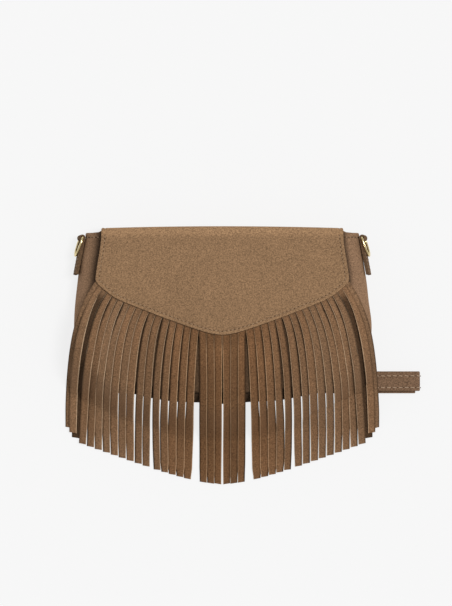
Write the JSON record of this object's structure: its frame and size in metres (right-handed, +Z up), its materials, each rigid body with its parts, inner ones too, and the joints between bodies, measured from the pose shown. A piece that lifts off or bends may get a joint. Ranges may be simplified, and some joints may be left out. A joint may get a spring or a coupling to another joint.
{
  "type": "fringed suede shoulder bag",
  "caption": "Small suede shoulder bag with a pointed flap, a long cut fringe along the flap's edge, side rings and a folded detachable strap, lying on its back",
  "frame": {"origin": "centre of the back panel's outer face, on the surface that the bag lies on", "axes": "+X to the bag's left-hand side as seen in the picture's right, +Y to the mouth and flap fold, +Z up out of the front of the bag as it lies on its back"},
  "size_m": [0.2762, 0.2009, 0.0539],
  "materials": {
    "body_suede": "brown suede, fine nap",
    "flap_suede": "brown suede, fine nap",
    "fringe_suede": "brown suede with cut edges",
    "strap_suede": "brown suede, two layers, stitched",
    "lining_cloth": "plain woven lining",
    "flap_lining_skin": "thin smooth leather",
    "stiffener_board": "bonded leather board",
    "pale_gold": "polished pale gold plating"
  },
  "bodies": {
    "bag": {"back_panel": "body_suede", "front_panel": "body_suede", "gusset": "body_suede", "lining": "lining_cloth", "snap_socket": "pale_gold", "snap_socket_washer": "pale_gold", "left_tab": "body_suede", "right_tab": "body_suede", "strap": "strap_suede", "strap_stud_1": "pale_gold", "strap_socket_1": "pale_gold", "strap_stud_2": "pale_gold", "strap_socket_2": "pale_gold"},
    "flap_root": {"flap_top": "flap_suede"},
    "flap": {"flap_front": "flap_suede", "flap_stiffener": "stiffener_board", "flap_lining": "flap_lining_skin", "fringe": "fringe_suede", "snap_stud": "pale_gold", "snap_stud_washer": "pale_gold"},
    "ring_left": {"left_ring": "pale_gold"},
    "ring_right": {"right_ring": "pale_gold"}
  },
  "joints": [
    {"name": "flap_back_fold", "type": "hinge", "parent": "bag", "child": "flap_root", "pos_m": [0, 0.07, 0], "axis": [-1, 0, 0], "range_deg": [0, 90]},
    {"name": "flap_front_fold", "type": "hinge", "parent": "flap_root", "child": "flap", "pos_m": [0, 0.07, 0.035], "axis": [-1, 0, 0], "range_deg": [0, 72], "deforming": ["fringe"]},
    {"name": "left_ring_swing", "type": "hinge", "parent": "bag", "child": "ring_left", "pos_m": [-0.10993, 0.06083, 0.01547], "axis": [-0.1738, -0.0578, -0.9831], "range_deg": [0, 150]},
    {"name": "right_ring_swing", "type": "hinge", "parent": "bag", "child": "ring_right", "pos_m": [0.10993, 0.06083, 0.01547], "axis": [-0.1738, 0.0578, 0.9831], "range_deg": [0, 150]}
  ],
  "couplings": [
    {"joint": "flap_front_fold", "follows": "flap_back_fold", "ratio": 0.8}
  ]
}
